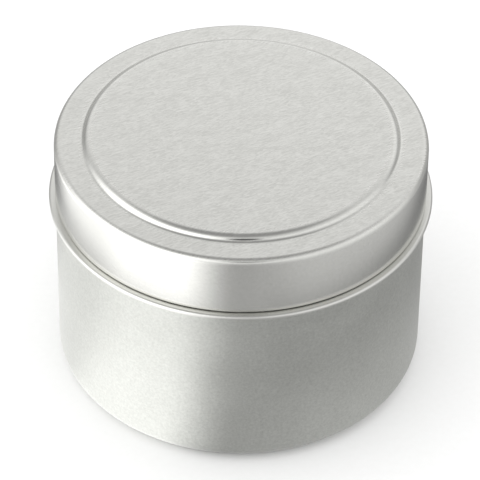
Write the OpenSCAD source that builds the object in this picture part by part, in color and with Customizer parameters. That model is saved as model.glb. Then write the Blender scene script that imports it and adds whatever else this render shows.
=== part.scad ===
// Round slip-lid tin for pouring candles: a drawn tin and the lid that slips over its neck.
// Both are formed from one disc of tinplate, so each is drawn as a sheet of one thickness
// that runs from the axis outwards through a chain of bends, turned about the axis.
// Origin: centre of the base, on the surface the tin stands on. +Z is up. Millimetres.

/* [Overall] */
// Outside diameter of the lid's skirt
lid_d = 77.2; // [70:0.2:100]
// Height of the lid's shoulder above the table, without the raised panel
shoulder_z = 55.7; // [40:0.1:90]
// Thickness of the tinplate
sheet = 0.25; // [0.18:0.01:0.3]

/* [Lid] */
// Height of the skirt, from the shoulder down to the lid's lower edge
skirt_h = 13.6; // [8:0.1:20]
// Outside radius of the bend between shoulder and skirt
lid_corner_r = 1.3; // [1:0.1:2.5]
// Height of the raised panel above the shoulder
panel_rise = 1.1; // [0.6:0.1:1.4]
// Diameter at the foot of the panel's step
panel_foot_d = 66.5; // [40:0.1:68]
// Slope of the panel's step at its steepest, in degrees
panel_slope = 52; // [40:1:60]
// Share of the panel's step that is the bend at the top, the rest being the bend at the foot
panel_edge_share = 0.61; // [0.4:0.01:0.65]
// Mid-sheet radius of the fold that makes the skirt's lower edge safe
hem_fold_r = 0.2; // [0.18:0.01:0.25]
// Height of the leg that is folded up inside the skirt
hem_leg_h = 1.2; // [0.4:0.1:4]

/* [Tin] */
// How far the wall sits inside the lid's skirt
wall_inset = 0.1; // [0:0.05:0.5]
// Outside radius of the bend between base and wall
base_corner_r = 4.6; // [2:0.2:6]
// Height of the stamped panel in the base, seen from below as a shallow recess
base_rise = 0.8; // [0.6:0.1:1.2]
// Slope of the base panel's step at its steepest, in degrees
base_slope = 50; // [40:1:60]
// Width of the flat ring that the tin stands on
base_ring_w = 2.4; // [1:0.1:6]
// How far the bead stands out past the lid's skirt
bead_out = 1.3; // [0.6:0.1:2]
// Thickness of the folded bead, from its upper face to its lower one
bead_t = 1.1; // [0.7:0.05:1.3]
// Height of the flared band of wall below the bead
flare_h = 5.2; // [3:0.1:10]
// Slope of the flared band, in degrees from upright
flare_a = 3.5; // [1:0.5:6]
// Outside diameter of the curl around the tin's mouth
curl_d = 1.2; // [0.9:0.1:1.6]

/* [Fit] */
// Gap between the lid's lower edge and the bead
edge_gap = 0.12; // [0.1:0.01:0.6]
// Gap all round between the neck and the lid's hem
slip_gap = 0.2; // [0.1:0.05:0.4]
// Gap between the tin's rim and the inside of the lid's shoulder
rim_gap = 0.05; // [0.05:0.05:0.2]

/* [Hidden] */
$fn = 120;

BEND_STEP = 7.5; // degrees between points on a bend
SAME_POINT = 0.0001; // points nearer than this are one point
CREASE_R = 8; // mid-sheet radius of the soft crease where the wall begins to flare
COVE_R = 0.5; // mid-sheet radius of the bend from the flared band into the bead
ROOT_R = 0.4; // mid-sheet radius of the bend from the bead's shelf into the neck
CURL_TURN = 250; // degrees that the rim is curled round
BASE_EDGE_SHARE = 0.5; // share of the base panel's step that is its upper bend

half = sheet / 2;

// The lid's measures, on the middle of the sheet
skirt_mid_r = lid_d / 2 - half;
lid_corner_mid_r = lid_corner_r - half;
shoulder_mid_z = shoulder_z - half;
skirt_edge_z = shoulder_z - skirt_h;
hem_z = skirt_edge_z + hem_fold_r + half;

// The tin's measures, on the middle of the sheet
wall_mid_r = lid_d / 2 - wall_inset - half;
base_corner_mid_r = base_corner_r - half;
base_foot_r = wall_mid_r - base_corner_mid_r - base_ring_w;
bead_fold_r = (bead_t - sheet) / 2;
bead_r = lid_d / 2 + bead_out - bead_t / 2;
bead_z = skirt_edge_z - edge_gap - bead_t / 2;
shelf_mid_z = bead_z + bead_fold_r;
neck_mid_r = skirt_mid_r - 2 * hem_fold_r - sheet - slip_gap;
curl_mid_r = curl_d / 2 - half;
rim_z = shoulder_z - sheet - rim_gap;

// Where the flared band starts, and the cove that carries it into the underside of the bead
flare_z = bead_z - flare_h;
crease_end = [
    wall_mid_r + CREASE_R * (1 - cos(flare_a)),
    flare_z + CREASE_R * sin(flare_a)
];
cove_z = bead_z - bead_fold_r - COVE_R;
cove_r = crease_end[0] + (cove_z + COVE_R * sin(flare_a) - crease_end[1]) * tan(flare_a)
    + COVE_R * cos(flare_a);

// A bend is [centre radius, centre height, mid-sheet radius, first angle, last angle].
// Its turn is 1 when it turns to the left of the run and -1 when it turns to the right.
function turn(bend) = sign(bend[4] - bend[3]);

// Points on one face of a bend: side is 1 for the face on the right of the run, -1 for the left
function bend_face(bend, side) =
    let (r = bend[2] + side * turn(bend) * half)
    let (steps = ceil(abs(bend[4] - bend[3]) / BEND_STEP))
    [
        for (i = [0:steps])
            let (a = bend[3] + (bend[4] - bend[3]) * i / steps)
            [bend[0] + r * cos(a), bend[1] + r * sin(a)]
    ];

// One whole face of a sheet that leaves the axis at height z0 and ends in a straight tail
function sheet_face(z0, bends, tail, side) =
    let (last = bends[len(bends) - 1])
    let (heading = last[4] + 90 * turn(last))
    let (bent = [for (bend = bends) each bend_face(bend, side)])
    concat(
        [[0, z0 - side * half]],
        bent,
        [bent[len(bent) - 1] + tail * [cos(heading), sin(heading)]]
    );

// The same points without the doubles that are left where two bends meet
function without_doubles(points) = [
    for (i = [0:len(points) - 1])
        if (i == 0 || norm(points[i] - points[i - 1]) > SAME_POINT) points[i]
];

function backwards(points) = [for (i = [len(points) - 1:-1:0]) points[i]];

// The two bends of a step that drops to [foot_r, foot_z]; they meet where it is steepest.
// Their radii add up to drop / (1 - cos(slope)), and edge_share of that is the upper one's.
function step_down(foot_r, foot_z, drop, slope, edge_share) =
    let (both_r = drop / (1 - cos(slope)))
    let (edge_r = edge_share * both_r)
    let (root_r = both_r - edge_r)
    [
        [foot_r - both_r * sin(slope), foot_z + drop - edge_r, edge_r, 90, 90 - slope],
        [foot_r, foot_z + root_r, root_r, 270 - slope, 270]
    ];

// A sheet of tinplate turned about the axis
module formed_sheet(z0, bends, tail = 0) {
    right = without_doubles(sheet_face(z0, bends, tail, 1));
    left = without_doubles(sheet_face(z0, bends, tail, -1));
    rotate_extrude()
        polygon(concat(right, backwards(left)));
}

// The drawn tin: stamped base, round corner, wall, flared band, folded bead, neck and curled rim
module tin_body() {
    bends = concat(
        step_down(base_foot_r, half, base_rise, base_slope, BASE_EDGE_SHARE),
        [
            [wall_mid_r - base_corner_mid_r, base_corner_r, base_corner_mid_r, 270, 360],
            [wall_mid_r + CREASE_R, flare_z, CREASE_R, 180, 180 - flare_a],
            [cove_r, cove_z, COVE_R, 180 - flare_a, 90],
            [bead_r, bead_z, bead_fold_r, -90, 90],
            [neck_mid_r + ROOT_R, shelf_mid_z + ROOT_R, ROOT_R, 270, 180],
            [neck_mid_r - curl_mid_r, rim_z - curl_d / 2, curl_mid_r, 0, CURL_TURN]
        ]
    );
    color([0.70, 0.71, 0.69])
        formed_sheet(base_rise + half, bends);
}

// The lid: raised panel, shoulder, skirt and a lower edge that is folded up inside
module lid() {
    bends = concat(
        step_down(panel_foot_d / 2, shoulder_mid_z, panel_rise, panel_slope, panel_edge_share),
        [
            [lid_d / 2 - lid_corner_r, shoulder_z - lid_corner_r, lid_corner_mid_r, 90, 0],
            [skirt_mid_r - hem_fold_r, hem_z, hem_fold_r, 0, -180]
        ]
    );
    color([0.80, 0.80, 0.78])
        formed_sheet(shoulder_mid_z + panel_rise, bends, hem_leg_h);
}

tin_body();
lid();
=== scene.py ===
"""The looks of a candle tin: a drawn tinplate tin and its slip-on lid, and a small studio for them.

Both pieces are one sheet of tinplate, bent and turned about the upright axis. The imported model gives
the places and outer sizes; the finer measures are properties, shown in the sidebar's Candle Tin tab.
Lengths are metres, heights are above the table, and +Z is up.
"""
import math

import bpy
import numpy as np
from bpy.props import FloatProperty, FloatVectorProperty, IntProperty, PointerProperty
from mathutils import Matrix, Vector


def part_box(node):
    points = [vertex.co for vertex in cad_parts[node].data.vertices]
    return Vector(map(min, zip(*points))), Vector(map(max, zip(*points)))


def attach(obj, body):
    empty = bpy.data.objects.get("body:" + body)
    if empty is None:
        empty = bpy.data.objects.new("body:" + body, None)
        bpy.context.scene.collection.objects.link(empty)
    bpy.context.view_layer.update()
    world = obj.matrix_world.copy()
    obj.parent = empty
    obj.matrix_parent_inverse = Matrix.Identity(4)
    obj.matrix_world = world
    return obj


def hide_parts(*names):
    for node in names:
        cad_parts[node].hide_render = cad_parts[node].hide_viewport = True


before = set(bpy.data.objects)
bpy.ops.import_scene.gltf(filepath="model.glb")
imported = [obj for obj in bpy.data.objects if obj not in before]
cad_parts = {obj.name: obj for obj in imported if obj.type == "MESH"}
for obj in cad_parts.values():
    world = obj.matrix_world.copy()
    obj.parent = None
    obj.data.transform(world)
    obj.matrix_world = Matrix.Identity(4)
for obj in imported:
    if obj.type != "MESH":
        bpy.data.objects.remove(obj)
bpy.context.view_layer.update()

bl_info = {
    "name": "Candle Tin",
    "version": (1, 0, 0),
    "blender": (4, 5, 0),
    "location": "3D Viewport > Sidebar > Candle Tin",
    "description": "Builds a drawn tinplate candle tin with a slip-on lid, and a studio around it",
    "category": "Add Mesh",
}

MM = 0.001
LID_LOW, LID_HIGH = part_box("lid")
TIN_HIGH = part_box("tin_body")[1]

# The turned surfaces
BEND_STEP = 7.5  # degrees between rings on a bend
FLAT_STEP = 2 * MM  # longest gap between rings on a straight run
EDGE_STEPS = 6  # steps of the half circle that closes the sheet's free edge
SAME_POINT = 1e-9  # metres; points nearer than this are one point
BLANK_MAP = "blank"  # the UV map that says where each point was on the flat sheet
MARK_ATTRIBUTE = "worked"  # how much the tools have polished each point, from 0 to 1

# The finish
FADE = 1.5 * MM  # half the width of the belt where the flat's grain gives way to mottle
CLOUD_SIZE = 9 * MM  # size of the broad unevenness that lies under grain and mottle
STEP_POLISH = 1.1 * MM  # half the width of the belt that is polished on the panel's step
DARK_TINT, LIGHT_TINT = (0.80, 0.80, 0.795, 1), (1, 1, 1, 1)  # the tone's two ends

# The studio
STAGE_SEGMENTS = 96  # facets around the axis
TENT_LOWEST, TENT_HIGHEST, TENT_RINGS = -8, 89.9, 40  # degrees above the table, and rings
FLOOR_INNER, FLOOR_RINGS = 3 * MM, 12  # radius of the face at the floor's middle, and rings
TABLE_INNER, TABLE_RINGS = 36 * MM, 24  # radius of the hole under the tin, and rings
PAPER_TOOTH = 700  # grains in a metre of the paper


# ---------------------------------------------------------------- sizes and looks

def length(name, description, default):
    """A length in metres, shown in the scene's unit."""
    return FloatProperty(name=name, description=description, default=default, min=0.0,
                         unit="LENGTH", precision=5)


def share(name, description, default):
    """A plain number from 0 to 1."""
    return FloatProperty(name=name, description=description, default=default, min=0.0, max=1.0)


def angle(name, description, degrees):
    """An angle, given in degrees and kept in radians."""
    return FloatProperty(name=name, description=description, default=math.radians(degrees),
                         subtype="ANGLE")


class LidSizes(bpy.types.PropertyGroup):
    """The lid's sizes"""
    radius: length("Radius", "Outside radius of the skirt", LID_HIGH.x)
    top: length("Top", "Height of the raised panel above the table", LID_HIGH.z)
    edge: length("Edge", "Height of the skirt's lower edge above the table", LID_LOW.z)
    panel_rise: length("Panel rise", "How far the panel stands above the shoulder", 1.1 * MM)
    panel_foot: length("Panel foot", "Radius at the foot of the panel's step", 33.25 * MM)
    panel_slope: angle("Panel slope", "Steepest slope of the panel's step", 52.0)
    panel_share: share("Panel share", "Share of the step that is the bend at its top", 0.61)
    corner: length("Corner", "Outside radius between shoulder and skirt", 1.3 * MM)
    hem_fold: length("Hem fold", "Mid-sheet radius of the folded edge", 0.2 * MM)
    hem_leg: length("Hem leg", "Height of the leg folded up inside", 1.2 * MM)


class TinSizes(bpy.types.PropertyGroup):
    """The tin's sizes"""
    bead: length("Bead", "Outside radius of the bead", TIN_HIGH.x)
    rim: length("Rim", "Height of the curled rim above the table", TIN_HIGH.z)
    wall: length("Wall", "Outside radius of the wall", LID_HIGH.x - 0.1 * MM)
    base_corner: length("Base corner", "Outside radius between base and wall", 4.6 * MM)
    base_rise: length("Base rise", "Depth of the recess stamped in the base", 0.8 * MM)
    base_slope: angle("Base slope", "Steepest slope of the recess's step", 50.0)
    base_share: share("Base share", "Share of that step that is its upper bend", 0.5)
    base_ring: length("Base ring", "Width of the ring the tin stands on", 2.4 * MM)
    bead_thickness: length("Bead thickness", "Height of the folded bead", 1.1 * MM)
    edge_gap: length("Edge gap", "Gap between the lid's edge and the bead", 0.12 * MM)
    slip_gap: length("Slip gap", "Gap between the neck and the lid's hem", 0.2 * MM)
    flare: length("Flare", "Height of the flared band below the bead", 5.2 * MM)
    flare_slope: angle("Flare slope", "Slope of the flared band from upright", 3.5)
    crease: length("Crease", "Mid-sheet radius of the crease below the flare", 8.0 * MM)
    cove: length("Cove", "Mid-sheet radius of the bend under the bead", 0.5 * MM)
    root: length("Root", "Mid-sheet radius of the bend into the neck", 0.4 * MM)
    curl: length("Curl", "Outside diameter of the curled rim", 1.2 * MM)
    curl_turn: angle("Curl turn", "How far round the rim is curled", 250.0)


class TinplateLook(bpy.types.PropertyGroup):
    """The sheet and its finish"""
    sheet: length("Sheet", "Thickness of the tinplate", 0.25 * MM)
    segments: IntProperty(name="Segments", description="Facets around the axis",
                          default=288, min=48, max=360)
    colour: FloatVectorProperty(name="Colour", description="Colour of clean tinplate",
                                subtype="COLOR", default=(0.748, 0.747, 0.718), min=0.0, max=1.0)
    stretched: FloatVectorProperty(name="Stretched colour", subtype="COLOR", min=0.0, max=1.0,
                                   description="Colour where drawing has dulled the tin",
                                   default=(0.66, 0.668, 0.635))
    grain_turn: angle("Grain turn", "Direction of the rolling grain from +X", 26.0)
    grain_length: length("Grain length", "Length of one streak of rolling grain", 1.5 * MM)
    grain_width: length("Grain width", "Width of one streak of rolling grain", 0.26 * MM)
    grain_depth: length("Grain depth", "Height of the rolling grain", 0.006 * MM)
    peel_size: length("Peel size", "Size of the mottle that drawing leaves", 0.55 * MM)
    peel_depth: length("Peel depth", "Height of the mottle that drawing leaves", 0.005 * MM)
    flat_roughness: share("Flat roughness", "Roughness of the flat sheet", 0.33)
    wall_roughness: share("Wall roughness", "Roughness of the drawn wall", 0.40)
    skirt_roughness: share("Skirt roughness", "Roughness of the lid's skirt", 0.24)
    bead_roughness: share("Bead roughness", "Roughness of the folded bead and the neck", 0.30)
    step_roughness: share("Step roughness", "Roughness of the step around the panel", 0.14)


class StudioSizes(bpy.types.PropertyGroup):
    """Camera, floor and light"""
    distance: length("Distance", "Camera to the point it looks at", 0.741)
    elevation: angle("Elevation", "Camera's height above the horizon", 41.07)
    roll: angle("Roll", "Turn of the camera about its own line of sight", 0.825)
    look_aside: FloatProperty(name="Look aside", description="How far right of the axis it looks",
                              default=0.0, unit="LENGTH", precision=5)
    look_height: length("Look height", "Height of the point it looks at", 27.76 * MM)
    lens: FloatProperty(name="Lens", description="Focal length in millimetres", default=263.6)
    floor: length("Floor", "Radius of the floor", 3.0)
    tent: length("Tent", "Radius of the light tent", 0.5)


# ---------------------------------------------------------------- bent sheet

def centre_line(start_height, bends, tail):
    """The middle of a bent sheet, from the axis outwards, as radius and height, heading and run.

    A bend is (centre radius, centre height, mid-sheet radius, first angle, last angle), in
    degrees. A point on it is centre + radius * (cos a, sin a), and the sheet heads a quarter turn
    on from a. Between bends it runs straight. The run is the length covered so far, which is how
    far that point lay from the middle of the flat blank.
    """
    points, headings = [np.array([[0.0, start_height]])], [np.array([0.0])]
    for centre_r, centre_z, radius, first, last in bends:
        steps = math.ceil(abs(last - first) / BEND_STEP)
        a = np.radians(np.linspace(first, last, steps + 1))
        arc = np.stack([centre_r + radius * np.cos(a), centre_z + radius * np.sin(a)], axis=1)
        heading = a + math.copysign(math.pi / 2, last - first)
        add_straight(points, headings, arc[0])
        points.append(arc)
        headings.append(heading)
    if tail > 0:
        along = np.array([math.cos(headings[-1][-1]), math.sin(headings[-1][-1])])
        end = points[-1][-1] + tail * along
        add_straight(points, headings, end)
        points.append(end[None, :])
        headings.append(headings[-1][-1:])
    line, heading = np.concatenate(points), np.concatenate(headings)
    gap = np.linalg.norm(np.diff(line, axis=0), axis=1)
    keep = np.concatenate([[True], gap > SAME_POINT])
    line, heading = line[keep], heading[keep]
    run = np.concatenate([[0.0], np.cumsum(np.linalg.norm(np.diff(line, axis=0), axis=1))])
    return line, heading, run


def add_straight(points, headings, end):
    """Adds evenly spaced points between the last point and end, neither of them included."""
    start = points[-1][-1]
    steps = math.ceil(np.linalg.norm(end - start) / FLAT_STEP)
    if steps > 1:
        t = np.arange(1, steps)[:, None] / steps
        points.append(start + (end - start) * t)
        headings.append(np.full(steps - 1, headings[-1][-1]))


def sheet_outline(start_height, bends, tail, thickness):
    """The outline of a bent sheet: points, outward normals and run on the blank.

    Each face is the centre line moved half a thickness along its normal, (sin h, -cos h) on the
    right of heading h and the opposite on the left. A half circle closes the free edge.
    """
    line, heading, run = centre_line(start_height, bends, tail)
    right = np.stack([np.sin(heading), -np.cos(heading)], axis=1)
    a = heading[-1] + np.radians(np.linspace(-90, 90, EDGE_STEPS + 1)[1:-1])
    cap = np.stack([np.cos(a), np.sin(a)], axis=1)
    half = thickness / 2
    points = np.concatenate([line + half * right, line[-1] + half * cap,
                             (line - half * right)[::-1]])
    normals = np.concatenate([right, cap, -right[::-1]])
    runs = np.concatenate([run, np.full(len(cap), run[-1]), run[::-1]])
    return points, normals, runs


def ring_quads(rings, segments):
    """Four-sided faces between rings of points: j runs round a ring, and each ring adds segments."""
    i = np.arange(rings - 1)[:, None] * segments
    j = np.arange(segments)[None, :]
    k = (j + 1) % segments
    return np.stack([i + j, i + k, i + segments + k, i + segments + j], axis=-1).reshape(-1, 4)


def turned_mesh(name, outline, segments, worked):
    """A mesh made by turning an outline about the z axis: p(t, a) = (r(t) cos a, r(t) sin a, z(t)).

    The outline starts and ends on the axis, where its rings shrink to single points. The blank map
    is run * (cos a, sin a), the place on the flat sheet that each point was drawn from, and the
    worked attribute says how polished each point of the outline is.
    """
    points, normals, runs = outline
    a = np.arange(segments) * 2 * math.pi / segments
    turn = np.stack([np.cos(a), np.sin(a)], axis=1)
    rings = len(points) - 2

    def spread(radial, upright):
        """The outline's inner points at every angle, and its two ends once."""
        ring = np.empty((rings, segments, 3))
        ring[..., :2] = radial[1:-1, None, None] * turn
        ring[..., 2] = upright[1:-1, None]
        ends = np.array([[0, 0, upright[0]], [0, 0, upright[-1]]])
        return np.concatenate([ring.reshape(-1, 3), ends])

    place = spread(points[:, 0], points[:, 1])
    facing = spread(normals[:, 0], normals[:, 1])
    blank = spread(runs, runs)[:, :2]
    marks = np.concatenate([np.repeat(worked[1:-1], segments), worked[[0, -1]]])

    around = np.arange(segments)
    onward = (around + 1) % segments
    last = (rings - 1) * segments
    first_end, last_end = rings * segments, rings * segments + 1
    first_fan = np.stack([np.full(segments, first_end), onward, around], axis=1)
    last_fan = np.stack([np.full(segments, last_end), last + around, last + onward], axis=1)
    faces = ring_quads(rings, segments).tolist() + first_fan.tolist() + last_fan.tolist()

    mesh = bpy.data.meshes.new(name)
    mesh.from_pydata(place, [], faces)
    mesh.shade_smooth()
    corner = np.empty(len(mesh.loops), np.int32)
    mesh.loops.foreach_get("vertex_index", corner)
    mesh.uv_layers.new(name=BLANK_MAP).data.foreach_set("uv", blank[corner].ravel())
    mark = mesh.attributes.new(MARK_ATTRIBUTE, "FLOAT", "POINT")
    mark.data.foreach_set("value", marks.astype(np.float32))
    mesh.normals_split_custom_set_from_vertices(facing)
    mesh.validate()
    return mesh


def hump(value, centre, width):
    """A smooth bump of height 1 at centre, falling off over width: exp(-((v - c) / w)^2)."""
    return np.exp(-((value - centre) / width) ** 2)


def step_down(foot_r, foot_z, drop, slope, edge_share):
    """The two bends of a step that drops to (foot_r, foot_z); they meet where it is steepest.

    Their radii add up to drop / (1 - cos slope), and edge_share of that is the upper one's.
    """
    both = drop / (1 - math.cos(slope))
    edge = edge_share * both
    root = both - edge
    turn = math.degrees(slope)
    return [(foot_r - both * math.sin(slope), foot_z + drop - edge, edge, 90, 90 - turn),
            (foot_r, foot_z + root, root, 270 - turn, 270)]


def lid_bends(lid, sheet):
    """The lid's chain of bends: panel step, corner and folded hem."""
    half = sheet / 2
    shoulder = lid.top - lid.panel_rise
    skirt = lid.radius - half
    step = step_down(lid.panel_foot, shoulder - half, lid.panel_rise, lid.panel_slope,
                     lid.panel_share)
    return step + [
        (lid.radius - lid.corner, shoulder - lid.corner, lid.corner - half, 90, 0),
        (skirt - lid.hem_fold, lid.edge + lid.hem_fold + half, lid.hem_fold, 0, -180),
    ]


def bead_height(tin, lid):
    """Height of the middle of the bead, which stands just below the lid's edge."""
    return lid.edge - tin.edge_gap - tin.bead_thickness / 2


def tin_bends(tin, lid, sheet):
    """The tin's chain of bends: base step, base corner, crease, cove, bead, root and rim curl."""
    half = sheet / 2
    wall = tin.wall - half
    corner = tin.base_corner - half
    foot = wall - corner - tin.base_ring
    fold = tin.bead_thickness / 2 - half
    bead_r = tin.bead - tin.bead_thickness / 2
    bead_z = bead_height(tin, lid)
    neck = lid.radius - half - 2 * lid.hem_fold - sheet - tin.slip_gap
    slope, slope_deg = tin.flare_slope, math.degrees(tin.flare_slope)
    flare_z = bead_z - tin.flare
    crease_r = wall + tin.crease * (1 - math.cos(slope))
    crease_z = flare_z + tin.crease * math.sin(slope)
    cove_z = bead_z - fold - tin.cove
    climb = cove_z + tin.cove * math.sin(slope) - crease_z
    cove_r = crease_r + climb * math.tan(slope) + tin.cove * math.cos(slope)
    curl = tin.curl / 2 - half
    step = step_down(foot, half, tin.base_rise, tin.base_slope, tin.base_share)
    return step + [
        (wall - corner, tin.base_corner, corner, 270, 360),
        (wall + tin.crease, flare_z, tin.crease, 180, 180 - slope_deg),
        (cove_r, cove_z, tin.cove, 180 - slope_deg, 90),
        (bead_r, bead_z, fold, -90, 90),
        (neck + tin.root, bead_z + fold + tin.root, tin.root, 270, 180),
        (neck - curl, tin.rim - tin.curl / 2, curl, 0, math.degrees(tin.curl_turn)),
    ]


# ---------------------------------------------------------------- shader expressions

class Signal:
    """A node's output that can be used in sums: each operator adds the Math node it stands for."""

    def __init__(self, shop, socket):
        self.shop, self.socket = shop, socket

    def maths(self, operation, *values):
        """A Math node on these values."""
        inputs = dict(enumerate(values))
        return self.shop.node("ShaderNodeMath", {"operation": operation}, inputs).out(0)

    def __add__(self, other):
        return self.maths("ADD", self, other)

    def __radd__(self, other):
        return self.maths("ADD", other, self)

    def __sub__(self, other):
        return self.maths("SUBTRACT", self, other)

    def __rsub__(self, other):
        return self.maths("SUBTRACT", other, self)

    def __mul__(self, other):
        return self.maths("MULTIPLY", self, other)

    def __rmul__(self, other):
        return self.maths("MULTIPLY", other, self)

    def smooth(self, low, high):
        """0 below low, 1 above high and a smooth S between; low may be the greater."""
        settings = {"interpolation_type": "SMOOTHSTEP"}
        inputs = {"Value": self, "From Min": low, "From Max": high}
        return self.shop.node("ShaderNodeMapRange", settings, inputs).out("Result")


class Made:
    """A node that has been made, with its outputs as signals."""

    def __init__(self, shop, node):
        self.shop, self.node = shop, node

    def out(self, name):
        """The output of this name or number."""
        return Signal(self.shop, self.node.outputs[name])


class Shop:
    """Makes the nodes of one material or world."""

    def __init__(self, owner):
        owner.use_nodes = True
        self.tree = owner.node_tree
        self.tree.nodes.clear()

    def node(self, kind, settings=None, inputs=None):
        """One node: its type, its settings, then the values or signals of its inputs."""
        node = self.tree.nodes.new(kind)
        for name, value in (settings or {}).items():
            setattr(node, name, value)
        for name, value in (inputs or {}).items():
            socket = node.inputs[name]
            if isinstance(value, Signal):
                self.tree.links.new(value.socket, socket)
            else:
                socket.default_value = value
        return Made(self, node)

    def vector(self, operation, *values):
        """A Vector Math node; dot products and lengths come out as numbers."""
        made = self.node("ShaderNodeVectorMath", {"operation": operation},
                         dict(enumerate(values)))
        single = operation in ("DOT_PRODUCT", "LENGTH")
        return made.out("Value" if single else "Vector")

    def place(self):
        """Where a point is on its object, in metres."""
        return self.node("ShaderNodeTexCoord").out("Object")

    def mix(self, factor, first, second, blend="MIX"):
        """A blend of two colours."""
        settings = {"data_type": "RGBA", "blend_type": blend}
        return self.node("ShaderNodeMix", settings, {"Factor": factor, 6: first, 7: second}).out(2)

    def noise(self, place, roughness, distortion=0.0):
        """Cloudy noise from 0 to 1 at a place that is already in units of its cell."""
        inputs = {"Vector": place, "Scale": 1.0, "Detail": 3, "Roughness": roughness,
                  "Distortion": distortion}
        return self.node("ShaderNodeTexNoise", {}, inputs).out(0)

    def cells(self, place, size):
        """A place in units of a cell of this size."""
        return self.vector("MULTIPLY", place, (1 / size,) * 3)

    def streaks(self, place, turn, long, wide):
        """A place in units of a long cell that lies at an angle from +X."""
        turned = self.node("ShaderNodeMapping", {"vector_type": "POINT"},
                           {"Vector": place, "Rotation": (0, 0, -turn)}).out(0)
        return self.vector("MULTIPLY", turned, (1 / long, 1 / wide, 1))


def tinplate(name, look, flat_run, drawn_share, wall_roughness, worked_roughness):
    """Tinplate: straight rolling grain on the flat, mottle on the drawn wall, polish at the bends.

    flat_run is the run on the blank at which the flat ends and the drawn wall begins. drawn_share
    is how much of the drawing's dullness the wall shows, from 0 on a shallow lid to 1 on a tin.
    The two roughnesses are those of the drawn wall and of the places that tools have polished.
    """
    material = bpy.data.materials.new(name)
    shop = Shop(material)
    blank = shop.node("ShaderNodeUVMap", {"uv_map": BLANK_MAP}).out(0)
    place = shop.place()
    worked = shop.node("ShaderNodeAttribute", {"attribute_name": MARK_ATTRIBUTE}).out("Fac")
    drawn = shop.vector("LENGTH", blank).smooth(flat_run - FADE, flat_run + FADE)

    turn, long, wide = look.grain_turn, look.grain_length, look.grain_width
    streak = shop.noise(shop.streaks(blank, turn, long, wide), roughness=0.62, distortion=1.2)
    sweep = shop.noise(shop.streaks(blank, turn, 4 * long, 9 * wide), roughness=0.5)
    peel = shop.noise(shop.cells(place, look.peel_size), roughness=0.7)
    cloud = shop.noise(shop.cells(place, CLOUD_SIZE), roughness=0.55)

    # Tones are about 0: positive is lighter and rougher
    dull = drawn * drawn_share * (1 - worked)
    flat_tone = (streak * 0.8 + sweep * 0.2 - 0.5) * 2.3
    wall_tone = (peel * 0.8 + cloud * 0.2 - 0.5) * (0.5 + 0.8 * drawn_share)
    tone = (flat_tone * (1 - drawn) + wall_tone * drawn) * (1 - 0.7 * worked)

    plain = shop.mix(dull, (*look.colour, 1), (*look.stretched, 1))
    shade = shop.mix(tone * 2.2 + 0.5, DARK_TINT, LIGHT_TINT)
    colour = shop.mix(1.0, plain, shade, "MULTIPLY")

    rest = look.flat_roughness * (1 - drawn) + wall_roughness * drawn
    rough = rest * (1 - worked) + worked_roughness * worked
    rough = rough + tone * 0.06 + (cloud - 0.5) * 0.04

    # Heights are in units of the peel's depth, and a polished place is smooth
    relief = streak * (1 - drawn) * (look.grain_depth / look.peel_depth)
    relief = relief + peel * (drawn * (0.10 + 0.90 * drawn_share))
    bump = shop.node("ShaderNodeBump", {}, {"Strength": 1.0, "Distance": look.peel_depth,
                                            "Height": relief * (1 - worked)}).out(0)
    shader = shop.node("ShaderNodeBsdfPrincipled", {},
                       {"Base Color": colour, "Metallic": 1.0, "Roughness": rough,
                        "Normal": bump}).out(0)
    shop.node("ShaderNodeOutputMaterial", {}, {"Surface": shader})
    return material


# ---------------------------------------------------------------- pieces

def add_object(name, data):
    """A new object in the scene that holds a mesh, a light or a camera."""
    thing = bpy.data.objects.new(name, data)
    bpy.context.scene.collection.objects.link(thing)
    return thing


def add_piece(name, mesh, material, body, node):
    """Puts a finished mesh in the scene in place of its CAD node, riding on that node's body."""
    mesh.materials.append(material)
    piece = add_object(name, mesh)
    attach(piece, body)
    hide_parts(node)


class CANDLE_TIN_OT_make_tin(bpy.types.Operator):
    """Make the drawn tin with its base, bead, neck and curled rim"""
    bl_idname = "candle_tin.make_tin"
    bl_label = "Make Tin"

    def execute(self, context):
        scene = context.scene
        tin, lid, look = scene.candle_tin, scene.candle_lid, scene.candle_tinplate
        bends = tin_bends(tin, lid, look.sheet)
        start = tin.base_rise + look.sheet / 2
        outline = sheet_outline(start, bends, 0.0, look.sheet)
        heights = outline[0][:, 1]
        worked = heights > bead_height(tin, lid) - tin.bead_thickness / 2
        mesh = turned_mesh("tin_sheet", outline, look.segments, worked)
        flat_run = tin.wall - tin.base_corner / 2
        material = tinplate("drawn_tinplate", look, flat_run, 1.0, look.wall_roughness,
                            look.bead_roughness)
        add_piece("tin_body_sheet", mesh, material, "tin", "tin_body")
        return {"FINISHED"}


class CANDLE_TIN_OT_make_lid(bpy.types.Operator):
    """Make the slip-on lid with its raised panel, skirt and folded edge"""
    bl_idname = "candle_tin.make_lid"
    bl_label = "Make Lid"

    def execute(self, context):
        scene = context.scene
        lid, look = scene.candle_lid, scene.candle_tinplate
        bends = lid_bends(lid, look.sheet)
        outline = sheet_outline(lid.top - look.sheet / 2, bends, lid.hem_leg, look.sheet)
        radii = outline[0][:, 0]
        worked = hump(radii, lid.panel_foot - STEP_POLISH, STEP_POLISH)
        mesh = turned_mesh("lid_sheet", outline, look.segments, worked)
        material = tinplate("bright_tinplate", look, lid.radius - lid.corner / 2, 0.0,
                            look.skirt_roughness, look.step_roughness)
        add_piece("lid_sheet", mesh, material, "lid", "lid")
        return {"FINISHED"}


# ---------------------------------------------------------------- studio

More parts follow.
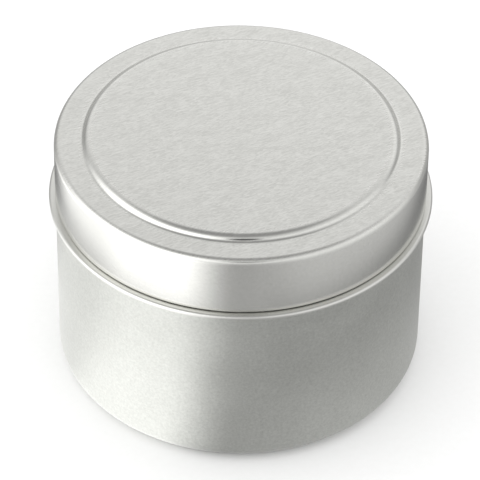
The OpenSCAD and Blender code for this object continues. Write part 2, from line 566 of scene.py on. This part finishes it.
def stage_mesh(name, radii, heights, closed):
    """Rings about the axis, p(t, a) = (r(t) cos a, r(t) sin a, z(t)), facing up or inwards.

    If it is closed, one face fills the first ring.
    """
    a = np.arange(STAGE_SEGMENTS) * 2 * math.pi / STAGE_SEGMENTS
    place = np.empty((len(radii), STAGE_SEGMENTS, 3))
    place[..., 0] = radii[:, None] * np.cos(a)
    place[..., 1] = radii[:, None] * np.sin(a)
    place[..., 2] = heights[:, None]
    faces = ring_quads(len(radii), STAGE_SEGMENTS)[:, ::-1].tolist()
    if closed:
        faces.append(list(range(STAGE_SEGMENTS)))
    mesh = bpy.data.meshes.new(name)
    mesh.from_pydata(place.reshape(-1, 3), [], faces)
    return mesh


def disc_mesh(name, inner, outer, rings, closed):
    """A flat disc on the table, whose rings grow by the same factor from inner to outer."""
    return stage_mesh(name, np.geomspace(inner, outer, rings), np.zeros(rings), closed)


def tent_mesh(name, radius):
    """The upper part of a sphere around the tin, r(u) = R cos u and z(u) = R sin u."""
    u = np.radians(np.linspace(TENT_LOWEST, TENT_HIGHEST, TENT_RINGS))
    return stage_mesh(name, radius * np.cos(u), radius * np.sin(u), closed=False)


def direction(azimuth, elevation):
    """Unit vector to a point in the studio: azimuth 0 is the camera's side, 90 is its right."""
    a, e = math.radians(azimuth), math.radians(elevation)
    return (math.sin(a) * math.cos(e), -math.cos(a) * math.cos(e), math.sin(e))


def spread_cos(degrees):
    """Cosine of a half angle given in degrees."""
    return math.cos(math.radians(degrees))


def glow_material(name, fill):
    """An emission whose brightness is worked out by fill(shop), a function of place."""
    material = bpy.data.materials.new(name)
    shop = Shop(material)
    shader = shop.node("ShaderNodeEmission", {}, {"Color": fill(shop), "Strength": 1.0}).out(0)
    shop.node("ShaderNodeOutputMaterial", {}, {"Surface": shader})
    return material


def toward(shop, place, azimuth):
    """Cosine of the level angle, seen from the axis, between a place and an azimuth."""
    level = shop.vector("NORMALIZE", shop.vector("MULTIPLY", place, (1, 1, 0)))
    return shop.vector("DOT_PRODUCT", level, direction(azimuth, 0))


def side_lobe(shop, place, azimuth, inner, outer):
    """1 within inner degrees of an azimuth and 0 beyond outer, at any height."""
    return toward(shop, place, azimuth).smooth(spread_cos(outer), spread_cos(inner))


def tent_glow(shop):
    """Brightness of the tent: dim overhead, pale walls brightest on the left, a dark camera."""
    place = shop.place()
    aim = shop.vector("NORMALIZE", place)
    up = shop.vector("DOT_PRODUCT", aim, (0, 0, 1))

    def height(start, end):
        """0 at one elevation and 1 at another, in degrees."""
        return up.smooth(math.sin(math.radians(start)), math.sin(math.radians(end)))

    left = side_lobe(shop, place, -60, 20, 64)
    right = side_lobe(shop, place, 55, 20, 68)
    back = side_lobe(shop, place, 168, 10, 60)
    front = side_lobe(shop, place, 4, 8, 34)
    eye = shop.vector("DOT_PRODUCT", aim, direction(3, 43)).smooth(spread_cos(10), spread_cos(6))
    wall = 0.41 * height(84, 54) + 0.30 * right * height(62, 36)
    rear = back * (0.15 * height(88, 64) - 0.15 * height(60, 48) + 0.34 * height(55, 38))
    glow = 0.38 + wall + rear + 1.15 * left * height(67, 44)
    low = height(30, 2)
    sides = side_lobe(shop, place, -154, 15, 34) + side_lobe(shop, place, 142, 15, 42)
    dim = low * (0.10 + 0.32 * front) + 0.36 * sides * height(32, 14)
    return glow * (1 - dim) * (1 - 0.9 * eye)


def table_glow(shop):
    """Brightness of the table as the metal reflects it: painted light from the left, with a ring of
    painted shade.
    """
    place = shop.place()
    reach = shop.vector("LENGTH", place)

    def beyond(start, end):
        """0 at one distance from the axis and 1 at another, in millimetres."""
        return reach.smooth(start * MM, end * MM)

    far = beyond(76, 90)
    tail = 0.66 + 0.16 * far
    lit = toward(shop, place, -40)
    left = toward(shop, place, -104).smooth(-0.20, 0.28) * lit.smooth(0, 0.45)
    left = left * (tail + (1 - tail) * lit.smooth(0.80, 0.97))
    right = 0.27 * beyond(72, 46) + 0.45 * beyond(74, 92) - 0.07
    right = right * side_lobe(shop, place, 62, 15, 62)
    front = side_lobe(shop, place, 0, 4, 20)
    # Painted shade: a darker ring on the table, about 70 to 87 mm from the axis, left out in front
    painted_shade_ring = beyond(70, 76) * beyond(87, 78) * (1 - front)
    glow = 0.50 + 0.05 * front + right + left * (1.35 + 0.35 * far)
    return glow * (0.88 + 0.12 * beyond(100, 350)) * (1 - 0.75 * painted_shade_ring)


def only_in_reflections(thing):
    """Shows a stage object to the metal's reflections and to nothing else."""
    for ray in ("camera", "diffuse", "transmission", "volume_scatter", "shadow"):
        setattr(thing, "visible_" + ray, False)


def add_stage(name, mesh, material):
    """Adds a piece of the studio."""
    mesh.materials.append(material)
    thing = add_object(name, mesh)
    return thing


def floor_material():
    """Plain pale paper with the faintest tooth."""
    material = bpy.data.materials.new("pale_paper")
    shop = Shop(material)
    tooth = shop.noise(shop.cells(shop.place(), 1 / PAPER_TOOTH), roughness=0.6)
    colour = shop.mix(tooth, (0.86, 0.86, 0.855, 1), (0.90, 0.90, 0.90, 1))
    shader = shop.node("ShaderNodeBsdfPrincipled", {},
                       {"Base Color": colour, "Roughness": 0.9}).out(0)
    shop.node("ShaderNodeOutputMaterial", {}, {"Surface": shader})
    return material


def add_soft_light(name, azimuth, elevation, distance, size, power):
    """A square soft light that faces the tin and lights only the paper."""
    light = bpy.data.lights.new(name, "AREA")
    light.size, light.energy = size, power
    lamp = add_object(name, light)
    aim = Vector(direction(azimuth, elevation))
    lamp.location = aim * distance
    lamp.rotation_mode = "QUATERNION"
    lamp.rotation_quaternion = aim.to_track_quat("Z", "Y")
    lamp.visible_glossy = False


def add_camera(studio):
    """A long lens that looks down on the tin, turned slightly about its line of sight."""
    data = bpy.data.cameras.new("camera")
    data.lens = studio.lens
    data.sensor_width = 36.0
    data.clip_start, data.clip_end = 0.01, 50.0
    camera = add_object("camera", data)
    back = Vector(direction(0, math.degrees(studio.elevation)))
    aim = Vector((studio.look_aside, 0, studio.look_height))
    turn = (-back).to_track_quat("-Z", "Y").to_matrix() @ Matrix.Rotation(studio.roll, 3, "Z")
    camera.location = aim + back * studio.distance
    camera.rotation_mode = "QUATERNION"
    camera.rotation_quaternion = turn.to_quaternion()
    bpy.context.scene.camera = camera


def add_world(brightness):
    """An even white surround that lights the paper; the metal doesn't see it."""
    world = bpy.data.worlds.new("surround")
    shop = Shop(world)
    shader = shop.node("ShaderNodeBackground", {}, {"Color": (1, 1, 1, 1),
                                                    "Strength": brightness}).out(0)
    shop.node("ShaderNodeOutputWorld", {}, {"Surface": shader})
    bpy.context.scene.world = world
    world.cycles_visibility.glossy = False


class CANDLE_TIN_OT_make_studio(bpy.types.Operator):
    """Make the floor, the light tent, the lit table, the key light and the camera"""
    bl_idname = "candle_tin.make_studio"
    bl_label = "Make Studio"

    def execute(self, context):
        studio = context.scene.candle_studio
        floor = disc_mesh("floor", FLOOR_INNER, studio.floor, FLOOR_RINGS, closed=True)
        floor = add_stage("floor", floor, floor_material())
        floor.visible_glossy = False
        tent = add_stage("tent", tent_mesh("tent", studio.tent), glow_material("tent", tent_glow))
        only_in_reflections(tent)
        table = disc_mesh("table_glow", TABLE_INNER, studio.tent, TABLE_RINGS, closed=False)
        table = add_stage("table_glow", table, glow_material("table_glow", table_glow))
        only_in_reflections(table)
        add_soft_light("key", azimuth=-60, elevation=55, distance=1.2, size=0.9, power=1.5)
        add_world(brightness=1.25)
        add_camera(studio)
        context.scene.view_settings.view_transform = "Standard"
        return {"FINISHED"}


# ---------------------------------------------------------------- add-on

class CANDLE_TIN_PT_panel(bpy.types.Panel):
    """The tin's makers in the sidebar"""
    bl_label = "Candle Tin"
    bl_idname = "CANDLE_TIN_PT_panel"
    bl_space_type = "VIEW_3D"
    bl_region_type = "UI"
    bl_category = "Candle Tin"

    def draw(self, context):
        for maker in (CANDLE_TIN_OT_make_tin, CANDLE_TIN_OT_make_lid, CANDLE_TIN_OT_make_studio):
            self.layout.operator(maker.bl_idname)
        for group in GROUPS:
            box = self.layout.box()
            sizes = getattr(context.scene, group)
            for name in type(sizes).__annotations__:
                box.prop(sizes, name)


GROUPS = {
    "candle_lid": LidSizes,
    "candle_tin": TinSizes,
    "candle_tinplate": TinplateLook,
    "candle_studio": StudioSizes,
}
CLASSES = (CANDLE_TIN_OT_make_tin, CANDLE_TIN_OT_make_lid, CANDLE_TIN_OT_make_studio,
           CANDLE_TIN_PT_panel)


def register():
    """Registers the classes and hangs the property groups on the scene."""
    for name, group in GROUPS.items():
        bpy.utils.register_class(group)
        setattr(bpy.types.Scene, name, PointerProperty(type=group))
    for each in CLASSES:
        bpy.utils.register_class(each)


def unregister():
    """Takes off what register put on."""
    for each in reversed(CLASSES):
        bpy.utils.unregister_class(each)
    for name, group in reversed(GROUPS.items()):
        delattr(bpy.types.Scene, name)
        bpy.utils.unregister_class(group)


def main():
    """Builds everything in order."""
    register()
    bpy.ops.candle_tin.make_tin()
    bpy.ops.candle_tin.make_lid()
    bpy.ops.candle_tin.make_studio()


if __name__ == "__main__":
    main()
